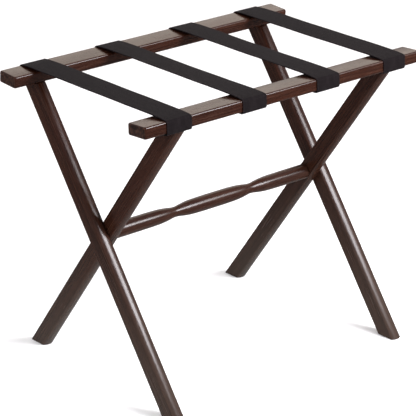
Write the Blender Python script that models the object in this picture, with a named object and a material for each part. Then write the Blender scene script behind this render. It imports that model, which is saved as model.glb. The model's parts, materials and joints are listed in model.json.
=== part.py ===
# A folding luggage rack: two leg frames crossed on a turned stretcher, held open by four webbing straps.
# Metres, +Z up. The origin is on the floor, midway between the four feet. The front is -Y.
# The outer frame carries the rear rail and the stretcher. The inner frame carries the front rail and
# folds about the stretcher's tenons. In these functions "side" is +1 for the outer frame, whose rail
# stands at +Y, and -1 for the inner frame, whose rail stands at -Y.
import math

import bmesh
import bpy

# Fits
SEAT_GAP = 0.0003  # between two pieces that touch
RUNNING_GAP = 0.0001  # all round a tenon that turns in its bore

# Legs
PIVOT_HEIGHT = 0.2527  # floor to the crossing's axis
LEG_SLOPE = math.radians(36)  # from the vertical, with the rack open
LEG_REACH = 0.2722  # along the leg, from the crossing to the underside of its rail
LEG_WIDTH = 0.032  # over the crowns of the narrow edges
LEG_THICKNESS = 0.0208
LEG_CROWN_RADIUS = 0.018  # the narrow edges are rounded right across
LEG_ROUND = 0.0015  # where a crown meets a flat side
LEG_EASE = 0.0006  # on the edges of the two sawn ends
LEG_SPACING = 0.0003  # between an outer leg and the inner leg beside it

# Rails
RAIL_LENGTH = 0.584
RAIL_WIDTH = 0.0415
RAIL_HEIGHT = 0.0193
RAIL_ROUND = 0.0032  # on the top and bottom edges
RAIL_CORNER = 0.0045  # on the four upright corners
RAIL_TILT = math.radians(3.3)  # lifts the outer edge
RAIL_SHIFT = 0.0005  # how far the rail's middle stands out past the leg's
RAIL_OVERHANG = 0.0423  # rail end to the outer leg's outer face

# Straps: 2 in webbing, which measures a little under that
STRAP_WIDTH = 0.0492
STRAP_THICKNESS = 0.0015
STRAP_TAIL = 0.022  # flat length under the rail
STRAP_HEM = STRAP_THICKNESS  # the end is turned in, so the tail lies double under the rail
STRAP_NOTCH_GAP = 0.0005  # round a leg that stands in the tail's way
STRAP_LAP = 0.001  # how far the wrapped part reaches past the rail's inner edge
STRAP_INSETS = (0.0658, 0.0613)  # rail ends to the middle of the first and the last strap
STRAP_DRIFTS = (0.0, 0.0, 0.0059, 0.0)  # how far each one sits off an even spacing
SMALLEST_TAB = 0.003  # a narrower strip beside a notch is cut away

# Stretcher
BARREL_RADIUS = 0.01285
BARREL_EASE = 0.0008
COVE_PLACE = 0.0818  # from the middle to the bottom of each cove
COVE_DEPTH = 0.0043
COVE_SPREAD = 0.0133  # sets how long the cove's slopes are
TENON_RADIUS = 0.007
TENON_DEPTH = 0.014  # in the outer leg
TENON_EASE = 0.0008

# Fasteners
PIN_RADIUS = 0.0015
PIN_PAST_TENON = 0.003
PIN_SINK = 0.001  # below the leg's edge
SCREW_LENGTH = 0.042
SCREW_RADIUS = 0.002
SCREW_HEAD_RADIUS = 0.004
SCREW_HEAD_HEIGHT = 0.0028
SCREW_HEAD_RIM = 0.0004
SCREW_TIP = 0.004
SCREW_SLOT = (0.0042, 0.0009, 0.0016)  # length, width and depth of each arm of the cross recess
SCREW_OUT = -0.009  # from the leg's middle, outward along the rail's width
DOWEL_RADIUS = 0.003
DOWEL_IN_RAIL = 0.010
DOWEL_IN_LEG = 0.008
DOWEL_EASE = 0.0006
DOWEL_OUT = 0.004
STAPLE_CROWN = 0.0095
STAPLE_LEG = 0.010
STAPLE_WIRE = (0.0006, 0.0012)  # thickness and width
STAPLE_ROWS = (0.006, 0.015)  # from the start of the strap's flat tail

# Facets
ROUND_SIDES = 32
SMALL_SIDES = 16
ARC_STEPS = 6
CROWN_STEPS = 4
CROWN_ROUND_STEPS = 2
COVE_STEPS = 12
CUTTER_OVERSHOOT = 0.001

# Worked out from the sizes above
OUTER_LEG_X = RAIL_LENGTH / 2 - RAIL_OVERHANG - LEG_THICKNESS / 2
INNER_LEG_X = OUTER_LEG_X - LEG_THICKNESS - LEG_SPACING
LEG_X = {1: OUTER_LEG_X, -1: INNER_LEG_X}
RAIL_OUT = (
    LEG_REACH * math.sin(LEG_SLOPE)
    + RAIL_SHIFT * math.cos(RAIL_TILT)
    - RAIL_HEIGHT / 2 * math.sin(RAIL_TILT)
)
RAIL_UP = (
    LEG_REACH * math.cos(LEG_SLOPE)
    + RAIL_SHIFT * math.sin(RAIL_TILT)
    + RAIL_HEIGHT / 2 * math.cos(RAIL_TILT)
)
FRAME_NAMES = {1: "outer", -1: "inner"}
RAIL_NAMES = {1: "rear", -1: "front"}
HAND_NAMES = {-1: "left", 1: "right"}


def clear_scene():
    for obj in list(bpy.data.objects):
        bpy.data.objects.remove(obj, do_unlink=True)


def make_material(name, colour, roughness, metallic=0.0):
    material = bpy.data.materials.new(name)
    material.use_nodes = True
    shader = material.node_tree.nodes["Principled BSDF"]
    shader.inputs["Base Color"].default_value = (*colour, 1)
    shader.inputs["Roughness"].default_value = roughness
    shader.inputs["Metallic"].default_value = metallic
    return material


def make_object(name, bm, material, parent, location=(0, 0, 0), turn=(0, 0, 0)):
    """Locations count from the crossing's axis, where every parent empty stands."""
    bmesh.ops.recalc_face_normals(bm, faces=bm.faces)
    mesh = bpy.data.meshes.new(name)
    bm.to_mesh(mesh)
    bm.free()
    mesh.shade_smooth()
    mesh.set_sharp_from_angle(angle=math.radians(35))
    mesh.materials.append(material)
    obj = bpy.data.objects.new(name, mesh)
    bpy.context.scene.collection.objects.link(obj)
    obj.parent = parent
    obj.location = location
    obj.rotation_euler = turn
    return obj


def make_cutter(name, bm, parent, location=(0, 0, 0), turn=(0, 0, 0)):
    cutter = make_object(name, bm, CUTTER_MATERIAL, parent, location, turn)
    cutter.hide_render = True
    cutter.display_type = "WIRE"
    return cutter


def cut(cutter, *targets):
    for target in targets:
        modifier = target.modifiers.new(cutter.name, "BOOLEAN")
        modifier.operation = "DIFFERENCE"
        modifier.solver = "EXACT"
        modifier.object = cutter


def ease_edges(obj, width, steps, least_angle):
    bevel = obj.modifiers.new("eased edges", "BEVEL")
    bevel.width = width
    bevel.segments = steps
    bevel.limit_method = "ANGLE"
    bevel.angle_limit = least_angle


# Shapes


def rounded_rectangle(half_x, half_y, radius):
    points = []
    for quarter, (sx, sy) in enumerate(((1, 1), (-1, 1), (-1, -1), (1, -1))):
        for step in range(ARC_STEPS + 1):
            angle = (quarter + step / ARC_STEPS) * math.pi / 2
            x = sx * (half_x - radius) + radius * math.cos(angle)
            y = sy * (half_y - radius) + radius * math.sin(angle)
            points.append((x, y))
    return points


def crowned_bar():
    """A leg's section: two flat sides, two crowned edges and small rounds between them."""
    half_x, half_y = LEG_THICKNESS / 2, LEG_WIDTH / 2
    crown_middle = half_y - LEG_CROWN_RADIUS
    round_x = half_x - LEG_ROUND
    rise = math.sqrt((LEG_CROWN_RADIUS - LEG_ROUND) ** 2 - round_x**2)
    meeting = math.atan2(rise, round_x)
    quarter = []
    for step in range(CROWN_ROUND_STEPS):
        angle = meeting * step / CROWN_ROUND_STEPS
        x, y = LEG_ROUND * math.cos(angle), LEG_ROUND * math.sin(angle)
        quarter.append((round_x + x, crown_middle + rise + y))
    for step in range(CROWN_STEPS + 1):
        angle = meeting + (math.pi / 2 - meeting) * step / CROWN_STEPS
        x, y = LEG_CROWN_RADIUS * math.cos(angle), LEG_CROWN_RADIUS * math.sin(angle)
        quarter.append((x, crown_middle + y))
    half = quarter + [(-x, y) for x, y in reversed(quarter[:-1])]
    return half + [(-x, -y) for x, y in half]


def join_loops(bm, loops, ring=True):
    """Faces between each loop of vertices and the next. A ring's loops close on themselves."""
    for low, high in zip(loops, loops[1:]):
        for i in range(len(low) if ring else len(low) - 1):
            j = (i + 1) % len(low)
            bm.faces.new((low[i], low[j], high[j], high[i]))


def prism(low_points, high_points):
    bm = bmesh.new()
    low = [bm.verts.new(point) for point in low_points]
    high = [bm.verts.new(point) for point in high_points]
    join_loops(bm, (low, high))
    bm.faces.new(low)
    bm.faces.new(high)
    return bm


def block(x_span, y_span, z_span):
    corners = ((0, 0), (1, 0), (1, 1), (0, 1))
    low, high = ([(x_span[i], y_span[j], z) for i, j in corners] for z in z_span)
    return prism(low, high)


def turned(profile, sides=SMALL_SIDES):
    """A solid turned about local Z. The profile lists (radius, height) from one end to the other."""
    bm = bmesh.new()
    rings = []
    for radius, height in profile[1:-1]:
        ring = []
        for side in range(sides):
            angle = 2 * math.pi * side / sides
            ring.append(bm.verts.new((radius * math.cos(angle), radius * math.sin(angle), height)))
        rings.append(ring)
    join_loops(bm, rings)
    for (_, height), ring in ((profile[0], rings[0]), (profile[-1], rings[-1])):
        centre = bm.verts.new((0, 0, height))
        for i in range(sides):
            bm.faces.new((centre, ring[i], ring[(i + 1) % sides]))
    return bm


def eased_rod(radius, low, high, ease):
    return [(0, low), (radius - ease, low), (radius, low + ease), (radius, high - ease),
            (radius - ease, high), (0, high)]


def plain_rod(radius, low, high):
    return [(0, low), (radius, low), (radius, high), (0, high)]


def ribbon(side, inner, outer, x_low, x_high):
    """Webbing that lies on its edge in X, between two lines of (outward, up) points."""
    bm = bmesh.new()
    grid = []
    for x, line in ((x_low, inner), (x_low, outer), (x_high, outer), (x_high, inner)):
        grid.append([bm.verts.new((x, side * out, up)) for out, up in line])
    join_loops(bm, grid + grid[:1], ring=False)
    for end in (0, -1):
        bm.faces.new([line[end] for line in grid])
    return bm


# Legs


def leg_end_heights(side, across):
    """Where the two sawn ends cut the leg, at this distance across its width."""
    foot = (side * across * math.sin(LEG_SLOPE) - PIVOT_HEIGHT) / math.cos(LEG_SLOPE)
    lean = LEG_SLOPE + RAIL_TILT
    top = LEG_REACH + side * across * math.tan(lean) - SEAT_GAP / math.cos(lean)
    return foot, top


def make_leg(side, hand):
    section = crowned_bar()
    low = [(x, y, leg_end_heights(side, y)[0]) for x, y in section]
    high = [(x, y, leg_end_heights(side, y)[1]) for x, y in section]
    leg = make_object(
        f"{FRAME_NAMES[side]}_leg_{HAND_NAMES[hand]}", prism(low, high), WOOD, FRAMES[side],
        (hand * LEG_X[side], 0, 0), (-side * LEG_SLOPE, 0, 0),
    )
    ease_edges(leg, LEG_EASE, 2, math.radians(40))
    return leg


# Rails


def rail_place(side, x, out, up):
    """A point given along, across and above the rail's middle, counted from the crossing's axis."""
    world_out = RAIL_OUT + out * math.cos(RAIL_TILT) - up * math.sin(RAIL_TILT)
    world_up = RAIL_UP + out * math.sin(RAIL_TILT) + up * math.cos(RAIL_TILT)
    return x, side * world_out, world_up


def rail_turn(side):
    return side * RAIL_TILT, 0, 0


def make_rail(side):
    outline = rounded_rectangle(RAIL_LENGTH / 2, RAIL_WIDTH / 2, RAIL_CORNER)
    low = [(x, y, -RAIL_HEIGHT / 2) for x, y in outline]
    high = [(x, y, RAIL_HEIGHT / 2) for x, y in outline]
    rail = make_object(
        f"{RAIL_NAMES[side]}_rail", prism(low, high), WOOD, FRAMES[side],
        rail_place(side, 0, 0, 0), rail_turn(side),
    )
    ease_edges(rail, RAIL_ROUND, 4, math.radians(60))
    return rail


def screw_profile():
    return [(0, -SCREW_LENGTH), (SCREW_RADIUS * 0.1, -SCREW_LENGTH),
            (SCREW_RADIUS, SCREW_TIP - SCREW_LENGTH), (SCREW_RADIUS, -SCREW_HEAD_HEIGHT),
            (SCREW_HEAD_RADIUS, -SCREW_HEAD_RIM), (SCREW_HEAD_RADIUS, 0), (0, 0)]


def screw_hole_profile():
    hole, sink = SCREW_RADIUS + SEAT_GAP, SCREW_HEAD_RADIUS + SEAT_GAP
    bottom, top = -SCREW_LENGTH - SEAT_GAP, SEAT_GAP + CUTTER_OVERSHOOT
    return [(0, bottom), (hole, bottom), (hole, -SCREW_HEAD_HEIGHT), (sink, -SCREW_HEAD_RIM),
            (sink, top), (0, top)]


def fix_leg_to_rail(side, hand, leg, rail):
    label = f"{FRAME_NAMES[side]}_{HAND_NAMES[hand]}"
    x = hand * LEG_X[side]
    place = rail_place(side, x, SCREW_OUT - RAIL_SHIFT, RAIL_HEIGHT / 2 - SEAT_GAP)
    screw = make_object(f"leg_screw_{label}", turned(screw_profile()), STEEL, FRAMES[side],
                        place, rail_turn(side))
    length, width, depth = SCREW_SLOT
    for arm, (half_x, half_y) in enumerate(((length / 2, width / 2), (width / 2, length / 2))):
        bm = block((-half_x, half_x), (-half_y, half_y), (-depth, CUTTER_OVERSHOOT))
        cut(make_cutter(f"recess_{arm}_{label}", bm, FRAMES[side], place, rail_turn(side)), screw)
    hole = make_cutter(f"screw_hole_{label}", turned(screw_hole_profile()), FRAMES[side],
                       place, rail_turn(side))
    cut(hole, rail, leg)

    place = rail_place(side, x, DOWEL_OUT - RAIL_SHIFT, -RAIL_HEIGHT / 2)
    dowel = eased_rod(DOWEL_RADIUS, -DOWEL_IN_LEG, DOWEL_IN_RAIL, DOWEL_EASE)
    make_object(f"leg_dowel_{label}", turned(dowel), DOWEL_WOOD, FRAMES[side], place, rail_turn(side))
    bore = plain_rod(DOWEL_RADIUS + SEAT_GAP, -DOWEL_IN_LEG - SEAT_GAP, DOWEL_IN_RAIL + SEAT_GAP)
    cut(make_cutter(f"dowel_bore_{label}", turned(bore), FRAMES[side], place, rail_turn(side)),
        rail, leg)


# Stretcher and crossing


def barrel_radius(x):
    coves = sum(COVE_DEPTH / math.cosh((x - place) / COVE_SPREAD) for place in (-COVE_PLACE, COVE_PLACE))
    return BARREL_RADIUS - coves


def cove_places():
    """Where the right-hand cove's profile is drawn, from its outer slope inward, closest at its neck."""
    reach = 4 * COVE_SPREAD  # past this the cove has died away
    shares = [1 - 2 * step / COVE_STEPS for step in range(COVE_STEPS + 1)]
    places = [COVE_PLACE + reach * share * abs(share) for share in shares]
    return [x for x in places if x > 0]


def stretcher_profile():
    barrel_end = INNER_LEG_X - LEG_THICKNESS / 2 - SEAT_GAP
    tenon_end = OUTER_LEG_X - LEG_THICKNESS / 2 + TENON_DEPTH
    half = [(tenon_end, TENON_RADIUS - TENON_EASE), (tenon_end - TENON_EASE, TENON_RADIUS),
            (barrel_end, TENON_RADIUS), (barrel_end, BARREL_RADIUS - BARREL_EASE)]
    eased_end = barrel_end - BARREL_EASE
    half += [(x, barrel_radius(x)) for x in [eased_end] + cove_places() if x <= eased_end]
    left = [(radius, -x) for x, radius in half]
    right = [(radius, x) for x, radius in reversed(half)]
    return [(0, -tenon_end)] + left + right + [(0, tenon_end)]


def make_stretcher():
    """Fixed to the outer frame. The inner legs turn on its tenons."""
    return make_object("stretcher", turned(stretcher_profile(), ROUND_SIDES), WOOD, FRAMES[1],
                       turn=(0, math.pi / 2, 0))


def join_crossing(hand, outer_leg, inner_leg, stretcher):
    label = HAND_NAMES[hand]
    inner_face = OUTER_LEG_X - LEG_THICKNESS / 2
    low = INNER_LEG_X - LEG_THICKNESS / 2 - CUTTER_OVERSHOOT
    bore = plain_rod(TENON_RADIUS + RUNNING_GAP, low, inner_face + TENON_DEPTH + SEAT_GAP)
    cutter = make_cutter(f"tenon_bore_{label}", turned(bore, ROUND_SIDES), FRAMES[1],
                         turn=(0, hand * math.pi / 2, 0))
    cut(cutter, outer_leg, inner_leg)

    place = (hand * (inner_face + TENON_DEPTH / 2), 0, 0)
    turn = (-LEG_SLOPE - math.pi / 2, 0, 0)  # the pin points across the leg, to its rear edge
    low, high = -TENON_RADIUS - PIN_PAST_TENON, LEG_WIDTH / 2 - PIN_SINK
    pin = eased_rod(PIN_RADIUS, low, high, PIN_RADIUS / 4)
    make_object(f"pivot_pin_{label}", turned(pin), STEEL, FRAMES[1], place, turn)
    bore = plain_rod(PIN_RADIUS + SEAT_GAP, low - SEAT_GAP, LEG_WIDTH / 2 + CUTTER_OVERSHOOT)
    cut(make_cutter(f"pin_bore_{label}", turned(bore), FRAMES[1], place, turn), outer_leg, stretcher)


# Straps


def strap_centres():
    first = STRAP_INSETS[0] - RAIL_LENGTH / 2
    last = RAIL_LENGTH / 2 - STRAP_INSETS[1]
    count = len(STRAP_DRIFTS)
    return [first + (last - first) * i / (count - 1) + drift for i, drift in enumerate(STRAP_DRIFTS)]


def wrap_line(away, hem=0.0):
    """(outward, up) points round the rail at this distance: the tail, the outer edges, then level inward.
    The hem lowers the tail and the corner above it."""
    flat_out, flat_up = RAIL_WIDTH / 2 - RAIL_ROUND, RAIL_HEIGHT / 2 - RAIL_ROUND
    radius = RAIL_ROUND + away
    points = [(flat_out - STRAP_TAIL, -flat_up - radius - hem)]
    level = math.pi / 2 - RAIL_TILT
    for up, start, end in ((-flat_up - hem, -math.pi / 2, 0), (flat_up, 0, level)):
        for step in range(ARC_STEPS + 1):
            angle = start + (end - start) * step / ARC_STEPS
            points.append((flat_out + radius * math.cos(angle), up + radius * math.sin(angle)))
    line = [rail_place(1, 0, out, up)[1:] for out, up in points]
    return line + [(strap_split(), line[-1][1])]


def strap_split():
    """How far out from the middle the wrapped part ends and the free span begins."""
    _, inner_edge, _ = rail_place(1, 0, -RAIL_WIDTH / 2, RAIL_HEIGHT / 2)
    return inner_edge - STRAP_LAP


def free_tail_stretches(side, centre):
    """The tail's width is cut where a leg stands under it. What is left: [(low, high), ...] in X."""
    low, high = centre - STRAP_WIDTH / 2, centre + STRAP_WIDTH / 2
    for hand in (-1, 1):
        leg_low = hand * LEG_X[side] - LEG_THICKNESS / 2 - STRAP_NOTCH_GAP
        leg_high = hand * LEG_X[side] + LEG_THICKNESS / 2 + STRAP_NOTCH_GAP
        if leg_low < high and leg_high > low:
            stretches = [(low, leg_low), (leg_high, high)]
            return [(a, b) for a, b in stretches if b - a > SMALLEST_TAB]
    return [(low, high)]


def notch_tail(side, wrap, stretches, centre):
    low, high = centre - STRAP_WIDTH / 2, centre + STRAP_WIDTH / 2
    edges = [low - CUTTER_OVERSHOOT] + [x for pair in stretches for x in pair] + [high + CUTTER_OVERSHOOT]
    if abs(edges[1] - low) < SEAT_GAP:
        edges = edges[2:]
    if abs(edges[-2] - high) < SEAT_GAP:
        edges = edges[:-2]
    half_width = LEG_WIDTH / 2 + STRAP_NOTCH_GAP
    lean = math.tan(LEG_SLOPE + RAIL_TILT)
    start, end = edges
    corners = ((start, -half_width), (end, -half_width), (end, half_width), (start, half_width))
    high_points = [(x, y, LEG_REACH + side * y * lean) for x, y in corners]
    low_points = [(x, y, z - 2 * LEG_WIDTH) for x, y, z in high_points]
    cutter = make_cutter(f"notch_{wrap.name}", prism(low_points, high_points), FRAMES[side],
                         turn=(-side * LEG_SLOPE, 0, 0))
    cut(cutter, wrap)


def staple_outline():
    """Seen along the rail's width: (along, up) from the middle of the strap's underside."""
    wire, half, top = STAPLE_WIRE[0], STAPLE_CROWN / 2, STAPLE_LEG - STAPLE_WIRE[0] - SEAT_GAP
    bottom, inside = -SEAT_GAP - wire, -SEAT_GAP
    return [(-half, bottom), (half, bottom), (half, top), (half - wire, top),
            (half - wire, inside), (wire - half, inside), (wire - half, top), (-half, top)]


def make_staple(side, number, letter, x, row, rail, wrap):
    name = f"{RAIL_NAMES[side]}_staple_{number}{letter}"
    tail_start = RAIL_WIDTH / 2 - RAIL_ROUND
    tail_bottom = -RAIL_HEIGHT / 2 - SEAT_GAP - STRAP_THICKNESS - STRAP_HEM
    place = rail_place(side, x, tail_start - row, tail_bottom)
    half_width = STAPLE_WIRE[1] / 2
    outline = staple_outline()
    bm = prism([(px, -half_width, pz) for px, pz in outline], [(px, half_width, pz) for px, pz in outline])
    make_object(name, bm, STEEL, FRAMES[side], place, rail_turn(side))
    half_width += SEAT_GAP
    near, far = STAPLE_CROWN / 2 - STAPLE_WIRE[0] - SEAT_GAP, STAPLE_CROWN / 2 + SEAT_GAP
    for hand in (-1, 1):
        x_span = sorted((hand * near, hand * far))
        bm = block(x_span, (-half_width, half_width), (-SEAT_GAP, STAPLE_LEG))
        cut(make_cutter(f"hole_{HAND_NAMES[hand]}_{name}", bm, FRAMES[side], place, rail_turn(side)),
            rail, wrap)


def make_strap_end(side, number, centre, rail):
    low, high = centre - STRAP_WIDTH / 2, centre + STRAP_WIDTH / 2
    bm = ribbon(side, wrap_line(SEAT_GAP), wrap_line(SEAT_GAP + STRAP_THICKNESS, STRAP_HEM), low, high)
    wrap = make_object(f"strap_{number}_{RAIL_NAMES[side]}", bm, WEBBING, FRAMES[side])
    stretches = free_tail_stretches(side, centre)
    if stretches != [(low, high)]:
        notch_tail(side, wrap, stretches, centre)
    start, end = max(stretches, key=lambda pair: pair[1] - pair[0])
    for i, row in enumerate(STAPLE_ROWS):
        x = start + (end - start) * (i + 1) / (len(STAPLE_ROWS) + 1)
        make_staple(side, number, "ab"[i], x, row, rail, wrap)


def make_strap_span(number, centre):
    under, over = (wrap_line(away)[-1][1] for away in (SEAT_GAP, SEAT_GAP + STRAP_THICKNESS))
    end = strap_split() - SEAT_GAP
    bm = block((centre - STRAP_WIDTH / 2, centre + STRAP_WIDTH / 2), (-end, end), (under, over))
    make_object(f"strap_{number}_span", bm, WEBBING, FRAMES[1])


# The rack

clear_scene()
WOOD = make_material("walnut stained hardwood", (0.045, 0.020, 0.013), 0.32)
DOWEL_WOOD = make_material("plain beech", (0.52, 0.36, 0.20), 0.6)
WEBBING = make_material("black webbing", (0.022, 0.020, 0.021), 0.85)
STEEL = make_material("zinc plated steel", (0.62, 0.62, 0.60), 0.35, 1.0)
CUTTER_MATERIAL = make_material("cutter", (0.8, 0.1, 0.1), 0.5)

FRAMES = {}
for frame_side, frame_name in FRAME_NAMES.items():
    FRAMES[frame_side] = bpy.data.objects.new(f"{frame_name}_frame", None)
    FRAMES[frame_side].location = (0, 0, PIVOT_HEIGHT)
    bpy.context.scene.collection.objects.link(FRAMES[frame_side])

rails = {s: make_rail(s) for s in FRAMES}
legs = {(s, hand): make_leg(s, hand) for s in FRAMES for hand in HAND_NAMES}
for (s, hand), one_leg in legs.items():
    fix_leg_to_rail(s, hand, one_leg, rails[s])
turned_stretcher = make_stretcher()
for hand in HAND_NAMES:
    join_crossing(hand, legs[1, hand], legs[-1, hand], turned_stretcher)
for strap_number, strap_centre in enumerate(strap_centres(), start=1):
    for s in FRAMES:
        make_strap_end(s, strap_number, strap_centre, rails[s])
    make_strap_span(strap_number, strap_centre)
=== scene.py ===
import json
import math

import bmesh
import bpy
from mathutils import Matrix, Vector


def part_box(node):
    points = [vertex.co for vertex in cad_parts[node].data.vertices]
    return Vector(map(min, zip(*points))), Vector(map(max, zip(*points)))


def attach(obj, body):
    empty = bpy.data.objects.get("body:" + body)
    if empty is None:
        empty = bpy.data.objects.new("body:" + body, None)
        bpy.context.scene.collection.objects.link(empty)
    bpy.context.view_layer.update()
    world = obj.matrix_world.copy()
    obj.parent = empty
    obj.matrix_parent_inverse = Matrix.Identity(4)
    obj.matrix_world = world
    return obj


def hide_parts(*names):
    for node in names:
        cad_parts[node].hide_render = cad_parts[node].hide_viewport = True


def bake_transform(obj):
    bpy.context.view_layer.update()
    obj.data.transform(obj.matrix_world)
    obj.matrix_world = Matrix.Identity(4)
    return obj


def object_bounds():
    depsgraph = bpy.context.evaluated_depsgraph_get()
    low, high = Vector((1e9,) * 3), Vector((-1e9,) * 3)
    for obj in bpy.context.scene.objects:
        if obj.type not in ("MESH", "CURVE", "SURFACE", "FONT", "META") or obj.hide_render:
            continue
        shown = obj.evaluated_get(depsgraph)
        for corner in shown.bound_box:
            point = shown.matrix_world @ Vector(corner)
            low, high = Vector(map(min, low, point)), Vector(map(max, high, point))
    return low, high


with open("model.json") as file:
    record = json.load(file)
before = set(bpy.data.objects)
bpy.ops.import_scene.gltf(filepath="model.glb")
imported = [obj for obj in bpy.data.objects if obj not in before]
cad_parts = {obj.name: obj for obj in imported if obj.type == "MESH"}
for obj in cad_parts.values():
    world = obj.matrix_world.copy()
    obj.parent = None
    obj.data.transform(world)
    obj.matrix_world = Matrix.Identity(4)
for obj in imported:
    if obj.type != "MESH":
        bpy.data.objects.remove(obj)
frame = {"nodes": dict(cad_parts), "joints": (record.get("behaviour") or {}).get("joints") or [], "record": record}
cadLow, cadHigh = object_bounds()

# A folding luggage rack. It stands with its rails along X and its front at -Y.
# The outer frame (side 1) carries the rear rail, the inner frame (side -1) the front rail.
# Everything here is in metres unless a note says otherwise.

scene = bpy.context.scene
bodyOf = {1: "outer_frame", -1: "inner_frame"}
railOf = {1: "rear", -1: "front"}
legsOf = {1: "outer", -1: "inner"}
hands = {-1: "left", 1: "right"}

rackMiddle = (cadLow + cadHigh) / 2
pivot = Vector(frame["joints"][0]["pos_m"])
mountPlaces = {mount["name"]: Vector(mount["pos_m"]) for mount in frame["record"]["mounts"]}
legSlope = math.atan2(abs(mountPlaces["foot_front_left"].y), pivot.z)  # from upright


# Camera

cameraSet = {
    "azimuth": -41.32,  # degrees round the rack, 0 looks along +Y
    "elevation": 21.56,
    "roll": 0.27,
    "lens": 191.8,  # mm, on a 36 mm sensor
    "distance": 3.641,
    "aimFromMiddle": (-0.0093, 0, -0.0066),
}


def addCamera(setup):
    turn, lift = math.radians(setup["azimuth"]), math.radians(setup["elevation"])
    back = Vector((math.sin(turn) * math.cos(lift), -math.cos(turn) * math.cos(lift), math.sin(lift)))
    right = Vector((math.cos(turn), math.sin(turn), 0))
    up = back.cross(right)
    roll = math.radians(setup["roll"])
    right, up = right * math.cos(roll) + up * math.sin(roll), up * math.cos(roll) - right * math.sin(roll)
    data = bpy.data.cameras.new("rackCamera")
    data.lens = setup["lens"]
    data.clip_end = 100
    camera = bpy.data.objects.new("rackCamera", data)
    camera.matrix_world = Matrix((right, up, back)).transposed().to_4x4()
    camera.location = rackMiddle + Vector(setup["aimFromMiddle"]) + back * setup["distance"]
    scene.collection.objects.link(camera)
    scene.camera = camera


addCamera(cameraSet)


# Node helpers

def addNode(tree, kind, settings=None, **inputs):
    # makes a node. An input is a value or another node's output
    node = tree.nodes.new(kind)
    for name, value in (settings or {}).items():
        setattr(node, name, value)
    for name, value in inputs.items():
        feed(tree, node, name.replace("_", " "), value)
    return node


def feed(tree, node, name, value):
    socket = node.inputs[int(name)] if name.isdigit() else node.inputs[name]
    if isinstance(value, bpy.types.NodeSocket):
        tree.links.new(value, socket)
    else:
        socket.default_value = value


def calc(tree, operation, *values):
    node = addNode(tree, "ShaderNodeMath", {"operation": operation})
    for place, value in enumerate(values):
        feed(tree, node, str(place), value)
    return node.outputs[0]


def blendColours(tree, share, first, second, way="MIX"):
    node = addNode(tree, "ShaderNodeMix", {"data_type": "RGBA", "blend_type": way})
    for place, value in ((0, share), (6, first), (7, second)):
        if isinstance(value, bpy.types.NodeSocket):
            tree.links.new(value, node.inputs[place])
        else:
            node.inputs[place].default_value = value if place == 0 else (*value, 1)
    return node.outputs[2]


def rescale(tree, value, low, high, toLow=0.0, toHigh=1.0):
    node = addNode(tree, "ShaderNodeMapRange", {"clamp": True}, Value=value)
    for name, number in (("From Min", low), ("From Max", high), ("To Min", toLow), ("To Max", toHigh)):
        node.inputs[name].default_value = number
    return node.outputs["Result"]


def stretchedNoise(tree, place, stretch, detail, roughness=0.5, distortion=0.0):
    mapping = addNode(tree, "ShaderNodeMapping", Vector=place, Scale=stretch)
    texture = addNode(tree, "ShaderNodeTexNoise", Vector=mapping.outputs[0], Scale=1.0, Detail=detail,
                      Roughness=roughness, Distortion=distortion)
    return texture.outputs["Fac"]


def newMaterial(name, **shaderValues):
    material = bpy.data.materials.new(name)
    material.use_nodes = True
    tree = material.node_tree
    shader = tree.nodes["Principled BSDF"]
    for socket, value in shaderValues.items():
        shader.inputs[socket.replace("_", " ")].default_value = value
    return material, tree, shader


# Wood: each board keeps its own places in "grain", with X along the fibres, and in "endGrain" how far
# a spot faces along them

walnutLook = {
    "dark": (0.0120, 0.0033, 0.0017),
    "middle": (0.0220, 0.0065, 0.0032),
    "light": (0.0340, 0.0130, 0.0074),
    "endDark": (0.006, 0.0021, 0.0014),
    "endLight": (0.062, 0.0270, 0.0170),
    "lightShare": 0.75,
    "poreShare": 0.6,
    "ringScale": 70.0,
    "floorReflection": (0.066, 0.054, 0.043),  # painted reflection of the bright floor, which grows toward the floor
    "floorReflectionShare": 0.30,
    "floorReflectionHeights": (0.05, 0.30),  # full below the first, gone above the second
    "figureSize": (2.6, 55, 55),  # waves per metre along and across the grain
    "fibreSize": (18, 420, 420),
    "poreSize": (95, 2100, 2100),
    "roughness": (0.17, 0.27),
    "endRoughness": 0.18,  # more on the end grain
    "smears": (-0.03, 0.06),  # and from place to place
    "poreDepth": 0.00005,
    "fibreDepth": 0.00004,
}


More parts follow.
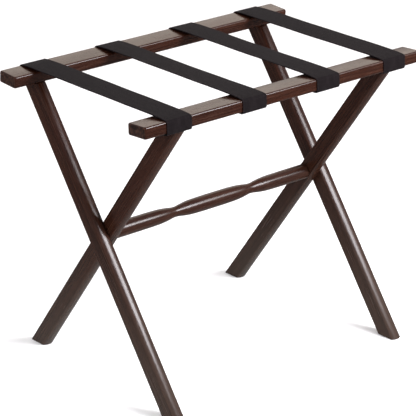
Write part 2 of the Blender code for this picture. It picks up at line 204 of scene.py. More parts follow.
def makeWalnut(look):
    material, tree, shader = newMaterial("walnutStain", IOR=1.33)
    place = addNode(tree, "ShaderNodeAttribute", {"attribute_name": "grain"}).outputs["Vector"]
    along = addNode(tree, "ShaderNodeAttribute", {"attribute_name": "endGrain"}).outputs["Fac"]
    height = addNode(tree, "ShaderNodeAttribute", {"attribute_name": "heightInRack"}).outputs["Fac"]
    figure = stretchedNoise(tree, place, look["figureSize"], 5, 0.55, 0.8)
    fibre = stretchedNoise(tree, place, look["fibreSize"], 6, 0.65)
    pores = rescale(tree, stretchedNoise(tree, place, look["poreSize"], 2), 0.60, 0.70)

    colour = blendColours(tree, rescale(tree, figure, 0.34, 0.66), look["dark"], look["middle"])
    lightShare = calc(tree, "MULTIPLY", rescale(tree, fibre, 0.44, 0.66), look["lightShare"])
    colour = blendColours(tree, lightShare, colour, look["light"])
    colour = blendColours(tree, calc(tree, "MULTIPLY", pores, look["poreShare"]), colour, look["dark"])

    # across the ends the pores show as dots and the year rings as bands
    isEnd = rescale(tree, along, 0.62, 0.88)
    rings = addNode(tree, "ShaderNodeTexWave", {"wave_type": "RINGS", "rings_direction": "X"}, Vector=place,
                    Scale=look["ringScale"], Distortion=5.0, Detail=3.0).outputs["Fac"]
    blotches = stretchedNoise(tree, place, (1, 260, 260), 4, 0.6)
    ringShare = rescale(tree, rings, 0, 1, 0.35, 1)
    endShare = calc(tree, "MULTIPLY", rescale(tree, blotches, 0.39, 0.64), ringShare)
    endColour = blendColours(tree, endShare, look["endDark"], look["endLight"])
    colour = blendColours(tree, isEnd, colour, endColour)
    # painted floor reflection: the wood turns lighter and greyer toward the floor
    floorReflection = rescale(tree, height, *look["floorReflectionHeights"], look["floorReflectionShare"], 0)
    colour = blendColours(tree, floorReflection, colour, look["floorReflection"])
    tree.links.new(colour, shader.inputs["Base Color"])

    rough = rescale(tree, fibre, 0.3, 0.7, *look["roughness"])
    rough = calc(tree, "ADD", rough, calc(tree, "MULTIPLY", isEnd, look["endRoughness"]))
    smears = stretchedNoise(tree, place, (9, 30, 30), 3)
    rough = calc(tree, "ADD", rough, rescale(tree, smears, 0.35, 0.7, *look["smears"]))
    tree.links.new(rough, shader.inputs["Roughness"])

    fibreBump = addNode(tree, "ShaderNodeBump", Strength=0.6, Distance=look["fibreDepth"], Height=fibre)
    sunk = calc(tree, "SUBTRACT", 1.0, pores)
    poreBump = addNode(tree, "ShaderNodeBump", Strength=0.5, Distance=look["poreDepth"], Height=sunk,
                       Normal=fibreBump.outputs[0])
    tree.links.new(poreBump.outputs[0], shader.inputs["Normal"])
    return material


beechLook = {
    "dark": (0.36, 0.22, 0.12),
    "light": (0.60, 0.43, 0.26),
    "fibreSize": (900, 900, 60),  # a dowel's fibres run up its Z
    "fibreDepth": 0.00005,
    "roughness": (0.5, 0.7),
}


def makeBeech(look):
    material, tree, shader = newMaterial("plainBeech", IOR=1.45)
    place = addNode(tree, "ShaderNodeTexCoord").outputs["Object"]
    fibre = stretchedNoise(tree, place, look["fibreSize"], 4, 0.6)
    colour = blendColours(tree, rescale(tree, fibre, 0.35, 0.68), look["dark"], look["light"])
    tree.links.new(colour, shader.inputs["Base Color"])
    tree.links.new(rescale(tree, fibre, 0.3, 0.7, *look["roughness"]), shader.inputs["Roughness"])
    bump = addNode(tree, "ShaderNodeBump", Strength=0.4, Distance=look["fibreDepth"], Height=fibre)
    tree.links.new(bump.outputs[0], shader.inputs["Normal"])
    return material


steelLook = {
    "bright": (0.66, 0.65, 0.62),
    "dull": (0.42, 0.41, 0.39),
    "spangleSize": (420, 420, 420),
    "scratchSize": (300, 4200, 4200),
    "scratchDepth": 0.00002,
    "roughness": (0.22, 0.46),
}


def makeZincSteel(look):
    material, tree, shader = newMaterial("zincSteel", Metallic=1.0)
    place = addNode(tree, "ShaderNodeTexCoord").outputs["Object"]
    spangle = stretchedNoise(tree, place, look["spangleSize"], 4, 0.6)
    scratches = stretchedNoise(tree, place, look["scratchSize"], 3)
    colour = blendColours(tree, rescale(tree, spangle, 0.35, 0.68), look["dull"], look["bright"])
    tree.links.new(colour, shader.inputs["Base Color"])
    tree.links.new(rescale(tree, spangle, 0.3, 0.7, *look["roughness"]), shader.inputs["Roughness"])
    bump = addNode(tree, "ShaderNodeBump", Strength=0.3, Distance=look["scratchDepth"], Height=scratches)
    tree.links.new(bump.outputs[0], shader.inputs["Normal"])
    return material


# Webbing: its UV map holds metres, across the strap in U and along it in V

webbingLook = {
    "yarn": (0.0044, 0.0029, 0.0034),
    # painted highlight on the yarn crests
    "yarnHighlight": (0.0084, 0.0057, 0.0065),
    # painted shade in the hollows between the yarns
    "grooveShade": (0.0017, 0.0011, 0.0013),
    "dust": (0.020, 0.016, 0.017),
    "dustShare": 0.22,
    "warpPitch": 0.00115,
    "weftPitch": 0.0021,
    "warpWobble": 0.0006,
    "depth": 0.00022,
    "fuzz": 0.00005,
}


def makeWebbing(look):
    material, tree, shader = newMaterial("blackWebbing", IOR=1.42, Specular_IOR_Level=0.08,
                                         Sheen_Weight=0.015, Sheen_Roughness=0.45)
    flat = addNode(tree, "ShaderNodeUVMap", {"uv_map": "weave"}).outputs[0]
    across, along, _ = addNode(tree, "ShaderNodeSeparateXYZ", Vector=flat).outputs
    wander = stretchedNoise(tree, flat, (160, 160, 1), 2)
    wobble = calc(tree, "MULTIPLY", calc(tree, "SUBTRACT", wander, 0.5), look["warpWobble"])
    across = calc(tree, "ADD", across, wobble)

    # each warp yarn rises over one weft and dips under the next, out of step with its neighbours
    warpTurn = calc(tree, "MULTIPLY", across, math.pi / look["warpPitch"])
    weftTurn = calc(tree, "MULTIPLY", along, math.pi / look["weftPitch"])
    yarnRound = calc(tree, "ABSOLUTE", calc(tree, "SINE", warpTurn))
    yarnNumber = calc(tree, "FLOOR", calc(tree, "DIVIDE", across, look["warpPitch"]))
    step = calc(tree, "MULTIPLY", yarnNumber, math.pi / 2)
    yarnRise = calc(tree, "SINE", calc(tree, "ADD", weftTurn, step))
    yarnRise = calc(tree, "MULTIPLY_ADD", calc(tree, "MULTIPLY", yarnRise, yarnRise), 0.6, 0.4)
    height = calc(tree, "MULTIPLY", calc(tree, "POWER", yarnRound, 0.6), yarnRise)

    lint = stretchedNoise(tree, flat, (900, 300, 1), 5, 0.7)
    dust = stretchedNoise(tree, flat, (230, 24, 1), 4, 0.6)
    # painted shade: the colour darkens where the weave sinks between the yarns
    colour = blendColours(tree, rescale(tree, height, 0.05, 0.45), look["grooveShade"], look["yarn"])
    lintShare = rescale(tree, lint, 0.3, 0.7, 0.3, 1)
    # painted highlight: the yarn crests are lightened, patchy with the lint
    highlightShare = calc(tree, "MULTIPLY", rescale(tree, height, 0.5, 1.0), lintShare)
    colour = blendColours(tree, highlightShare, colour, look["yarnHighlight"])
    dustShare = rescale(tree, dust, 0.42, 0.7, 0, look["dustShare"])
    colour = blendColours(tree, dustShare, colour, look["dust"])
    tree.links.new(colour, shader.inputs["Base Color"])
    rough = rescale(tree, lint, 0.3, 0.7, 0.72, 0.9)
    tree.links.new(rough, shader.inputs["Roughness"])

    weave = addNode(tree, "ShaderNodeBump", Strength=0.7, Distance=look["depth"], Height=height)
    fuzz = addNode(tree, "ShaderNodeBump", Strength=0.5, Distance=look["fuzz"], Height=lint,
                   Normal=weave.outputs[0])
    tree.links.new(fuzz.outputs[0], shader.inputs["Normal"])
    return material


walnut = makeWalnut(walnutLook)
beech = makeBeech(beechLook)
zincSteel = makeZincSteel(steelLook)
webbing = makeWebbing(webbingLook)
print("finishes made:", len(bpy.data.materials))


# Mesh helpers

def meshPiece(name, bm, material, place, sharpAngle=40):
    bmesh.ops.recalc_face_normals(bm, faces=bm.faces)
    mesh = bpy.data.meshes.new(name)
    bm.to_mesh(mesh)
    bm.free()
    mesh.materials.append(material)
    piece = bpy.data.objects.new(name, mesh)
    scene.collection.objects.link(piece)
    piece.matrix_world = place
    smooth(piece, sharpAngle)
    return piece


def smooth(piece, sharpAngle=40):
    piece.data.shade_smooth()
    piece.data.set_sharp_from_angle(angle=math.radians(sharpAngle))


def loft(rings):
    # faces between rings of points, and a face over each end ring
    bm = bmesh.new()
    made = [[bm.verts.new(point) for point in ring] for ring in rings]
    for low, high in zip(made, made[1:]):
        for i in range(len(low)):
            j = (i + 1) % len(low)
            bm.faces.new((low[i], low[j], high[j], high[i]))
    bm.faces.new(made[0])
    bm.faces.new(made[-1])
    return bm


def settle(piece):
    # applies the modifiers
    graph = bpy.context.evaluated_depsgraph_get()
    finished = bpy.data.meshes.new_from_object(piece.evaluated_get(graph))
    piece.modifiers.clear()
    piece.data = finished


def ease(piece, width, segments, leastAngle):
    bevel = piece.modifiers.new("easedEdges", "BEVEL")
    bevel.width = width
    bevel.segments = segments
    bevel.limit_method = "ANGLE"
    bevel.angle_limit = math.radians(leastAngle)
    settle(piece)
    smooth(piece)


def cutAway(piece, cutters):
    # cuts the cutters' shapes out of a piece and throws the cutters away
    for cutter in cutters:
        modifier = piece.modifiers.new(cutter.name, "BOOLEAN")
        modifier.operation = "DIFFERENCE"
        modifier.solver = "EXACT"
        modifier.object = cutter
    settle(piece)
    smooth(piece)
    for cutter in cutters:
        bpy.data.objects.remove(cutter)


def drill(name, middle, direction, length, radius, farRadius=None):
    # a round cutter about its middle, pointing along direction
    bm = bmesh.new()
    bmesh.ops.create_cone(bm, cap_ends=True, segments=40, radius1=radius, radius2=farRadius or radius,
                          depth=length)
    turn = direction.to_track_quat("Z", "Y").to_matrix().to_4x4()
    return meshPiece(name, bm, walnut, Matrix.Translation(middle) @ turn)


def nodeMiddle(node):
    low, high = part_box(node)
    return (low + high) / 2


def keepGrain(piece):
    # notes the board's own places and directions, then puts the mesh itself in place
    mesh = piece.data
    grain = mesh.attributes.new("grain", "FLOAT_VECTOR", "POINT")
    grain.data.foreach_set("vector", [value for vertex in mesh.vertices for value in vertex.co])
    endGrain = mesh.attributes.new("endGrain", "FLOAT", "CORNER")
    endGrain.data.foreach_set("value", [abs(normal.vector.x) for normal in mesh.corner_normals])
    mesh.transform(piece.matrix_world)
    piece.matrix_world = Matrix()
    height = mesh.attributes.new("heightInRack", "FLOAT", "POINT")
    height.data.foreach_set("value", [vertex.co.z for vertex in mesh.vertices])


def finishWood(piece, body, slot, *nodes):
    keepGrain(piece)
    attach(piece, body)
    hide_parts(*nodes)


# Rails

railSet = {
    "width": 0.0415,
    "height": 0.0193,
    "tilt": math.radians(3.3),  # lifts the outer edge
    "cornerRadius": 0.0045,
    "edgeRadius": 0.0032,
    "cornerSteps": 8,
    "edgeSteps": 8,
    "boardPlace": {1: 0.31, -1: 1.63},  # where along one long board each rail was cut
}


def railPlace(side, x, out, up):
    # a point along, across and above the rail's middle, in the rack's frame
    middle = nodeMiddle(f"{railOf[side]}_rail")
    tilt = railSet["tilt"]
    worldOut = out * math.cos(tilt) - up * math.sin(tilt)
    return Vector((x, middle.y + side * worldOut, middle.z + out * math.sin(tilt) + up * math.cos(tilt)))


def railUp(side):
    return Vector((0, -side * math.sin(railSet["tilt"]), math.cos(railSet["tilt"])))


def roundedOutline(halfX, halfY, radius, steps):
    points = []
    for quarter, (sx, sy) in enumerate(((1, 1), (-1, 1), (-1, -1), (1, -1))):
        for step in range(steps + 1):
            angle = (quarter + step / steps) * math.pi / 2
            x = sx * (halfX - radius) + radius * math.cos(angle)
            points.append((x, sy * (halfY - radius) + radius * math.sin(angle)))
    return points


def makeRail(side, shape):
    node = f"{railOf[side]}_rail"
    low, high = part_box(node)
    outline = roundedOutline((high.x - low.x) / 2, shape["width"] / 2, shape["cornerRadius"],
                             shape["cornerSteps"])
    shift = shape["boardPlace"][side]
    rings = [[(x + shift, y, z) for x, y in outline] for z in (-shape["height"] / 2, shape["height"] / 2)]
    place = Matrix.Translation(nodeMiddle(node)) @ Matrix.Rotation(side * shape["tilt"], 4, "X")
    rail = meshPiece(f"{railOf[side]}RailBoard", loft(rings), walnut,
                     place @ Matrix.Translation((-shift, 0, 0)))
    ease(rail, shape["edgeRadius"], shape["edgeSteps"], 60)
    return rail


rails = {side: makeRail(side, railSet) for side in bodyOf}
print("rails made")


# Legs

legSet = {
    "width": 0.032,  # over the crowned narrow edges
    "crownRadius": 0.018,
    "cornerRadius": 0.0015,
    "crownSteps": 14,
    "cornerSteps": 5,
    "railGap": 0.0003,
    "endEase": 0.0008,
    "boardPlaces": {(1, -1): 0.42, (1, 1): 1.37, (-1, -1): 2.21, (-1, 1): 3.08},
}


def crownedSection(thickness, shape):
    # (across the thickness, across the width) points of the leg's section
    halfThick, halfWide = thickness / 2, shape["width"] / 2
    crown, corner = shape["crownRadius"], shape["cornerRadius"]
    crownMiddle = halfWide - crown
    cornerX = halfThick - corner
    rise = math.sqrt((crown - corner) ** 2 - cornerX**2)
    meeting = math.atan2(rise, cornerX)
    quarter = []
    for step in range(shape["cornerSteps"]):
        angle = meeting * step / shape["cornerSteps"]
        quarter.append((cornerX + corner * math.cos(angle), crownMiddle + rise + corner * math.sin(angle)))
    for step in range(shape["crownSteps"] + 1):
        angle = meeting + (math.pi / 2 - meeting) * step / shape["crownSteps"]
        quarter.append((crown * math.cos(angle), crownMiddle + crown * math.sin(angle)))
    half = quarter + [(-x, y) for x, y in reversed(quarter[:-1])]
    return half + [(-x, -y) for x, y in half]


def legFrame(side, hand):
    # from the leg's own frame, with Z up the leg from the pivot, to the rack's
    x = nodeMiddle(f"{legsOf[side]}_leg_{hands[hand]}").x
    return Matrix.Translation((x, pivot.y, pivot.z)) @ Matrix.Rotation(-side * legSlope, 4, "X")


def heightAt(place, across, wide, planePoint, planeNormal):
    # how far up the leg, at this point of its section, a plane cuts it
    start = place @ Vector((across, wide, 0))
    direction = place.to_3x3() @ Vector((0, 0, 1))
    return planeNormal.dot(planePoint - start) / planeNormal.dot(direction)


def legRings(side, place, section, railGap):
    underRail = railPlace(side, 0, 0, -railSet["height"] / 2 - railGap)
    floor = (Vector((0, 0, cadLow.z)), Vector((0, 0, 1)))
    rings = []
    for plane in (floor, (underRail, railUp(side))):
        rings.append([(x, y, heightAt(place, x, y, *plane)) for x, y in section])
    return rings


def makeLeg(side, hand, shape):
    node = f"{legsOf[side]}_leg_{hands[hand]}"
    low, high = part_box(node)
    place = legFrame(side, hand)
    shift = shape["boardPlaces"][side, hand]
    # the board's own X runs up the leg, so that the grain does
    rings = [[(z + shift, x, y) for x, y, z in ring]
             for ring in legRings(side, place, crownedSection(high.x - low.x, shape), shape["railGap"])]
    board = Matrix(((0, 1, 0, 0), (0, 0, 1, 0), (1, 0, 0, 0), (0, 0, 0, 1)))
    leg = meshPiece(f"{legsOf[side]}Leg{hands[hand].capitalize()}", loft(rings), walnut,
                    place @ board @ Matrix.Translation((-shift, 0, 0)))
    ease(leg, shape["endEase"], 3, 40)
    return leg


legs = {(side, hand): makeLeg(side, hand, legSet) for side in bodyOf for hand in hands}
print("legs made:", len(legs))


# Stretcher

stretcherSet = {
    "radius": 0.01285,
    "endEase": 0.0008,
    "covePlace": 0.0818,  # from the middle to each cove's bottom
    "coveDepth": 0.0043,
    "coveSpread": 0.0133,
    "tenonRadius": 0.007,
    "tenonEase": 0.0008,
    "legGap": 0.0003,
    "sides": 72,
    "steps": 150,
    "shoulderSteps": 6,
    "boardPlace": 4.4,
}


def barrelRadius(x, shape):
    coves = [shape["coveDepth"] / math.cosh((x - place) / shape["coveSpread"])
             for place in (-shape["covePlace"], shape["covePlace"])]
    return shape["radius"] - sum(coves)


def makeStretcher(shape):
    low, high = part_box("stretcher")
    legLow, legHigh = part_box("inner_leg_right")
    end, barrelEnd = high.x, legLow.x - shape["legGap"]
    easedEnd = barrelEnd - shape["endEase"]
    half = [(end, shape["tenonRadius"] - shape["tenonEase"]),
            (end - shape["tenonEase"], shape["tenonRadius"]),
            (barrelEnd, shape["tenonRadius"]),
            (barrelEnd, shape["radius"] - shape["endEase"])]
    for step in range(shape["shoulderSteps"] + 1):
        angle = step / shape["shoulderSteps"] * math.pi / 2
        half.append((easedEnd + shape["endEase"] * math.cos(angle),
                     barrelRadius(easedEnd, shape) - shape["endEase"] * (1 - math.sin(angle))))
    for step in range(1, shape["steps"]):
        x = easedEnd * (1 - step / shape["steps"])
        half.append((x, barrelRadius(x, shape)))
    profile = [(-x, radius) for x, radius in half] + [(0, barrelRadius(0, shape))] + half[::-1]
    angles = [2 * math.pi * i / shape["sides"] for i in range(shape["sides"])]
    shift = shape["boardPlace"]
    rings = [[(x + shift, radius * math.cos(a), radius * math.sin(a)) for a in angles]
             for x, radius in profile]
    place = Matrix.Translation((-shift, pivot.y, pivot.z))
    return meshPiece("turnedStretcher", loft(rings), walnut, place, 50)


stretcher = makeStretcher(stretcherSet)
print("stretcher made")


# Bores for the tenons, pins, screws and dowels

boreSet = {
    "tenonPlay": 0.0001,
    "fit": 0.0003,
    "pinRadius": 0.0015,
    "screwRadius": 0.002,
    "headRadius": 0.004,
    "headDepth": 0.0028,
    "dowelRadius": 0.003,
}


def boreCrossing(hand, fit):
    # the tenon runs through the inner leg and into the outer one. A pin locks it there
    handName = hands[hand]
    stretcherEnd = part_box("stretcher")[(hand + 1) // 2].x + hand * fit["fit"]
    innerLow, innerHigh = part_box(f"inner_leg_{handName}")
    start = (innerLow, innerHigh)[(1 - hand) // 2].x - hand * fit["headDepth"]
    middle = Vector(((start + stretcherEnd) / 2, pivot.y, pivot.z))
    length = abs(stretcherEnd - start)
    radius = stretcherSet["tenonRadius"] + fit["tenonPlay"]
    for leg in (legs[1, hand], legs[-1, hand]):
        cutAway(leg, [drill("tenonBore", middle, Vector((1, 0, 0)), length, radius)])
    pinNode = f"pivot_pin_{handName}"
    across = legFrame(1, hand).to_3x3() @ Vector((0, 1, 0))
    pinReach = (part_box(pinNode)[1] - nodeMiddle(pinNode)).dot(across)
    length = legSet["width"]
    middle = nodeMiddle(pinNode) + across * (length / 2 - pinReach)
    for piece in (legs[1, hand], stretcher):
        cutAway(piece, [drill("pinBore", middle, across, length, fit["pinRadius"] + fit["fit"])])


def boreJoint(side, hand, fit):
    # a screw through the rail into the top of the leg, and a dowel beside it
    up = railUp(side)
    label = f"{legsOf[side]}_{hands[hand]}"
    for piece in (rails[side], legs[side, hand]):
        cutters = []
        for part in ("screw", "dowel"):
            node = f"leg_{part}_{label}"
            low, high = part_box(node)
            length = (high.z - low.z) / up.z + 2 * fit["fit"]
            radius = fit[f"{part}Radius"] + fit["fit"]
            cutters.append(drill(f"{node}_bore", nodeMiddle(node), up, length, radius))
        low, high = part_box(f"leg_screw_{label}")
        head = nodeMiddle(f"leg_screw_{label}") + up * ((high.z - low.z) / 2 - fit["headDepth"] / 2)
        cutters.append(drill("headSink", head, up, fit["headDepth"] + 2 * fit["fit"], fit["screwRadius"],
                             fit["headRadius"] + fit["fit"]))
        cutAway(piece, cutters)


for hand in hands:
    boreCrossing(hand, boreSet)
    for side in bodyOf:
        boreJoint(side, hand, boreSet)

for side, rail in rails.items():
    finishWood(rail, bodyOf[side], "walnut_stain", f"{railOf[side]}_rail")
for (side, hand), leg in legs.items():
    finishWood(leg, bodyOf[side], "walnut_stain", f"{legsOf[side]}_leg_{hands[hand]}")
finishWood(stretcher, bodyOf[1], "walnut_stain", "stretcher")
print("wood bored and placed")


# Straps

strapSet = {
    "thickness": 0.00142,
    "gap": 0.0003,  # to the rail
    "tail": 0.022,  # under the rail
    "tailShort": 0.002,  # the turned-in end stops this far from the rail's rounded edge
    "hemGap": 0.00008,  # between the tail and its turned-in end
    "lift": 0.0020,  # the stiff webbing stands up a little as it leaves the rail
    "liftRun": 0.016,
    "sag": 0.0004,
    "leans": (0.0, 0.0011, 0.0006, -0.0004),  # how much higher each strap's left edge lies half way
    "slides": (0.0, -0.0010, -0.0032, -0.0016),  # how far along X each front end sits from the rear one
    "edgeRound": 0.0008,
    "bead": 0.00010,  # the selvedges are a little thicker
    "beadPlace": 0.0018,  # from the edge
    "beadSpread": 0.0012,
    "crown": 0.0004,  # the middle of its width stands this much above its edges
    "wander": 0.0004,  # a slow wave to the sides
    "wanderTurn": (17, 90),  # radians per metre along the strap, and from strap to strap
    "ripple": 0.00012,  # and a small one up and down
    "rippleTurn": (60, 70, 300),  # along, across, and from strap to strap
    "edgeSteps": 4,
    "widthSteps": 14,
    "underSteps": 10,  # round the rail's lower edge, up its face and round its upper edge
    "faceSteps": 6,
    "overSteps": 12,
    "hemSteps": 12,
    "stepLength": 0.0016,
    "notchGap": 0.0005,
    "smallestTab": 0.003,
    "blendFrom": 0.18,  # the bend of a folding rack's strap starts this far from the middle
}


def webbingSection(width, shape):
    # (across, half the thickness there) from one selvedge to the other
    half, rounding = width / 2, shape["edgeRound"]
    edgeSteps, widthSteps = shape["edgeSteps"], shape["widthSteps"]
    edge = [half - rounding + rounding * math.sin(step / edgeSteps * math.pi / 2)
            for step in range(edgeSteps + 1)]
    inner = [(half - rounding) * step / widthSteps for step in range(-widthSteps, widthSteps + 1)]
    places = [-x for x in reversed(edge[1:])] + inner + edge[1:]
    section = []
    for x in places:
        past = max(0.0, abs(x) - half + rounding) / rounding
        fromBead = half - shape["beadPlace"] - abs(x)
        bead = shape["bead"] * math.exp(-(fromBead / shape["beadSpread"]) ** 2)
        section.append((x, (shape["thickness"] / 2 + bead) * math.sqrt(max(0.0, 1 - past**2))))
    return section


def sweepWebbing(name, points, centre, width, shape, startAlong, bow, lean=0.0, slide=0.0):
    # sweeps the webbing's section along (y, z) points. bow(y) shapes how much it crowns and leans there
    section = webbingSection(width, shape)
    around = section + [(x, -h) for x, h in reversed(section[1:-1])]
    wanderAlong, wanderStart = shape["wanderTurn"]
    rippleAlong, rippleAcross, rippleStart = shape["rippleTurn"]
    rings, alongs, along = [], [], startAlong
    for i, (y, z) in enumerate(points):
        before, after = points[max(i - 1, 0)], points[min(i + 1, len(points) - 1)]
        tangent = Vector((after[0] - before[0], after[1] - before[1])).normalized()
        normal = (tangent[1], -tangent[0])
        if i:
            along += math.dist(points[i - 1], (y, z))
        alongs.append(along)
        share = bow(y)
        drift = shape["wander"] * share * math.sin(along * wanderAlong + centre * wanderStart)
        drift += slide * min(1.0, max(0.0, 0.5 - y / 2 / cadHigh.y))
        ring = []
        for x, h in around:
            drop = shape["crown"] * share * (2 * x / width) ** 2
            turn = along * rippleAlong + x * rippleAcross + centre * rippleStart
            lift = h - drop + share * (shape["ripple"] * math.sin(turn) - lean * 2 * x / width)
            ring.append((centre + x + drift, y + normal[0] * lift, z + normal[1] * lift))
        rings.append(ring)
    bm = loft(rings)
    strap = meshPiece(name, bm, webbing, Matrix(), 60)
    mapWeave(strap.data, len(around), [x for x, h in around], alongs)
    return strap, along - startAlong


def mapWeave(mesh, count, acrosses, alongs):
    # the UV map: metres across the strap and along it. Points were made ring by ring
    uv = mesh.uv_layers.new(name="weave")
    for loop in mesh.loops:
        ring, place = divmod(loop.vertex_index, count)
        uv.data[loop.index].uv = (acrosses[place], alongs[ring])


def cornerPoints(side, shape, low, startAngle, endAngle, steps):
    # round one of the rail's outer edges, at the strap's middle thickness
    flatOut = railSet["width"] / 2 - railSet["edgeRadius"]
    flatUp = railSet["height"] / 2 - railSet["edgeRadius"]
    hem = shape["thickness"] + shape["hemGap"]
    up = -flatUp - hem if low else flatUp
    radius = railSet["edgeRadius"] + shape["gap"] + shape["thickness"] / 2
    points = []
    for step in range(steps + 1):
        angle = startAngle + (endAngle - startAngle) * step / steps
        place = railPlace(side, 0, flatOut + radius * math.cos(angle), up + radius * math.sin(angle))
        points.append((place.y, place.z))
    return points


def strapHalf(side, shape):
    # from under the rail's outer edge, up its face and over to the rack's middle
    leave = math.pi / 2 - railSet["tilt"] - math.atan2(shape["lift"], shape["liftRun"])
    points = cornerPoints(side, shape, True, -math.pi / 2, 0, shape["underSteps"])
    over = cornerPoints(side, shape, False, 0, leave, shape["overSteps"])
    (lowY, lowZ), (highY, highZ) = points[-1], over[0]
    for step in range(1, shape["faceSteps"]):
        share = step / shape["faceSteps"]
        points.append((lowY * (1 - share) + highY * share, lowZ * (1 - share) + highZ * share))
    points += over
    startY, startZ = points[-1]
    half = abs(startY)
    steps = round(half / shape["stepLength"])
    for step in range(1, steps + 1):
        run = half * step / steps
        rise = shape["lift"] * (1 - math.exp(-run / shape["liftRun"]))
        fall = shape["sag"] * (1 - math.cos(math.pi * run / half)) / 2
        points.append((side * (half - run), startZ + rise - fall))
    return points


def hemPoints(side, shape):
    # the tail under the rail: in from its turned-in end, round the fold and out to the corner
    steps = shape["hemSteps"]
    start = railSet["width"] / 2 - railSet["edgeRadius"]
    tailEnd = start - shape["tailShort"]
    turn = (shape["thickness"] + shape["hemGap"]) / 2
    upper = -railSet["height"] / 2 - shape["gap"] - shape["thickness"] / 2
    foldOut = start - shape["tail"] + turn + shape["thickness"] / 2
    places = [(tailEnd - (tailEnd - foldOut) * step / steps, upper) for step in range(steps)]
    for step in range(steps + 1):
        angle = math.pi / 2 + math.pi * step / steps
        places.append((foldOut + turn * math.cos(angle), upper - turn + turn * math.sin(angle)))
    places += [(foldOut + (start - foldOut) * step / steps, upper - 2 * turn)
               for step in range(1, steps + 1)]
    points = [railPlace(side, 0, out, up) for out, up in places]
    return [(point.y, point.z) for point in points]


def notchRange(side, low, high, shape):
    # the hand of the leg whose top meets the strap and the stretch of its width that it takes, or None
    for hand in hands:
        legLow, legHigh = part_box(f"{legsOf[side]}_leg_{hands[hand]}")
        start, end = legLow.x - shape["notchGap"], legHigh.x + shape["notchGap"]
        if start < high and end > low:
            start = low - 0.001 if start - low < shape["smallestTab"] else start
            end = high + 0.001 if high - end < shape["smallestTab"] else end
            return hand, start, end
    return None


def notchForLeg(piece, side, low, high, shape):
    found = notchRange(side, low, high, shape)
    if not found:
        return
    hand, start, end = found
    place = legFrame(side, hand)
    centre = place.translation.x
    half = legSet["width"] / 2 + shape["notchGap"]
    section = [(start - centre, -half), (end - centre, -half), (end - centre, half), (start - centre, half)]
    upper = legRings(side, place, section, 0)[1]
    lower = [(x, y, z - 2 * legSet["width"]) for x, y, z in upper]
    cutAway(piece, [meshPiece("legNotch", loft([lower, upper]), walnut, place)])


def makeStrap(number, shape):
    low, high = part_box(f"strap_{number}_span")
    width, centre = high.x - low.x, (low.x + high.x) / 2
    rear, front = strapHalf(1, shape), strapHalf(-1, shape)
    points = rear + front[-2::-1]
    reach = rear[shape["underSteps"] + shape["faceSteps"] + shape["overSteps"] // 2][0]

    def bow(y):
        return math.cos(min(1.0, abs(y) / reach) * math.pi / 2) ** 0.5 if abs(y) < reach else 0.0

    lean, slide = shape["leans"][number - 1], shape["slides"][number - 1]
    strap, length = sweepWebbing(f"strap{number}", points, centre, width, shape, 0.0, bow, lean, slide)
    total = length
    for side in bodyOf:
        hemLine = hemPoints(side, shape)
        hemLength = sum(math.dist(a, b) for a, b in zip(hemLine, hemLine[1:]))
        startAlong = -hemLength if side == 1 else length
        hem, _ = sweepWebbing(f"strap{number}{railOf[side].capitalize()}Hem", hemLine, centre, width, shape,
                              startAlong, lambda y: 0.0, 0.0, slide)
        notchForLeg(strap, side, low.x, high.x, shape)
        notchForLeg(hem, side, low.x, high.x, shape)
        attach(hem, bodyOf[side])
        total += hemLength
    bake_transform(strap)
    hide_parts(f"strap_{number}_rear", f"strap_{number}_span", f"strap_{number}_front")
    print(f"strap {number}: {length * 1000:.0f} mm between the hems, {total * 1000:.0f} mm in all")


for number in (1, 2, 3, 4):
    makeStrap(number, strapSet)


# Finishes for the hardware that keeps its own shape

hardwareFinishes = {"leg_screw": zincSteel, "pivot_pin": zincSteel, "staple": zincSteel, "leg_dowel": beech}
for nodeName, nodeObject in frame["nodes"].items():
    for part, finish in hardwareFinishes.items():
        if part in nodeName:
            nodeObject.data.materials.clear()
            nodeObject.data.materials.append(finish)


# Floor, world and lights

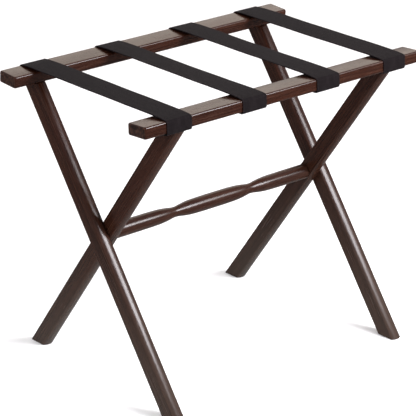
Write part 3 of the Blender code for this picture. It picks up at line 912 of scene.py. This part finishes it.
floorLook = {"colour": (0.90, 0.90, 0.895), "size": 60, "underFeet": 0.0002}
worldLook = {  # colours from straight down to straight up, and the heights between which they change
    "near": (0.52, 0.51, 0.50),
    "nearToLow": (-0.85, -0.40),
    "low": (0.20, 0.20, 0.21),
    "lowToHigh": (-0.05, 0.20),
    "high": (0.42, 0.42, 0.45),
}
lightSet = {  # places are from the rack's middle, strength is in W per square metre
    "keySoftbox": {"from": (0.8, -1.8, 1.37), "size": (1.3, 0.95), "strength": 92,
                   "colour": (0.98, 0.96, 1.0), "inPolish": True},
    "sidePanel": {"from": (1.72, -1.62, 1.45), "size": (0.9, 0.95), "strength": 24,
                  "colour": (1.0, 0.97, 0.97), "inPolish": True},
    "backPanel": {"from": (1.9, 2.15, 1.75), "size": (2.6, 1.9), "strength": 4.6,
                  "colour": (1.0, 0.87, 0.72), "inPolish": True},
    "leftSoftbox": {"from": (-2.4, -0.4, 1.0), "size": (1.6, 1.6), "strength": 16,
                    "colour": (1.0, 1.0, 1.0), "inPolish": False},
    "topSoftbox": {"from": (-0.6, 1.9, 2.8), "size": (3.0, 3.0), "strength": 4,
                   "colour": (1.0, 1.0, 1.0), "inPolish": False},
}


def makeFloor(look):
    material, tree, shader = newMaterial("paleFloor", Specular_IOR_Level=0.2)
    place = addNode(tree, "ShaderNodeTexCoord").outputs["Object"]
    mottle = stretchedNoise(tree, place, (3, 3, 3), 3)
    tint = [channel * 0.985 for channel in look["colour"]]
    colour = blendColours(tree, mottle, look["colour"], tint)
    tree.links.new(colour, shader.inputs["Base Color"])
    tree.links.new(rescale(tree, mottle, 0, 1, 0.75, 0.85), shader.inputs["Roughness"])
    half = look["size"] / 2
    bm = bmesh.new()
    bm.faces.new([bm.verts.new((x * half, y * half, 0)) for x, y in ((-1, -1), (1, -1), (1, 1), (-1, 1))])
    floor = meshPiece("studioFloor", bm, material, Matrix.Translation((0, 0, cadLow.z - look["underFeet"])))
    floor.visible_glossy = False  # keeps its white out of the dark polish


def makeWorld(look):
    world = bpy.data.worlds.new("studio")
    world.use_nodes = True
    scene.world = world
    tree = world.node_tree
    background = tree.nodes["Background"]
    direction = addNode(tree, "ShaderNodeTexCoord").outputs["Generated"]
    height = addNode(tree, "ShaderNodeSeparateXYZ", Vector=direction).outputs["Z"]
    colour = blendColours(tree, rescale(tree, height, *look["nearToLow"]), look["near"], look["low"])
    colour = blendColours(tree, rescale(tree, height, *look["lowToHigh"]), colour, look["high"])
    tree.links.new(colour, background.inputs["Color"])


def addSoftbox(name, setup):
    data = bpy.data.lights.new(name, "AREA")
    data.shape = "RECTANGLE"
    data.size, data.size_y = setup["size"]
    data.energy = setup["strength"] * data.size * data.size_y
    data.color = setup["colour"]
    light = bpy.data.objects.new(name, data)
    light.location = rackMiddle + Vector(setup["from"])
    light.rotation_mode = "QUATERNION"
    light.rotation_quaternion = (-Vector(setup["from"])).to_track_quat("-Z", "Y")
    light.visible_camera = False
    light.visible_glossy = setup["inPolish"]
    scene.collection.objects.link(light)


makeFloor(floorLook)
makeWorld(worldLook)
for lightName, setup in lightSet.items():
    addSoftbox(lightName, setup)
scene.view_settings.view_transform = "Standard"
print("studio set")
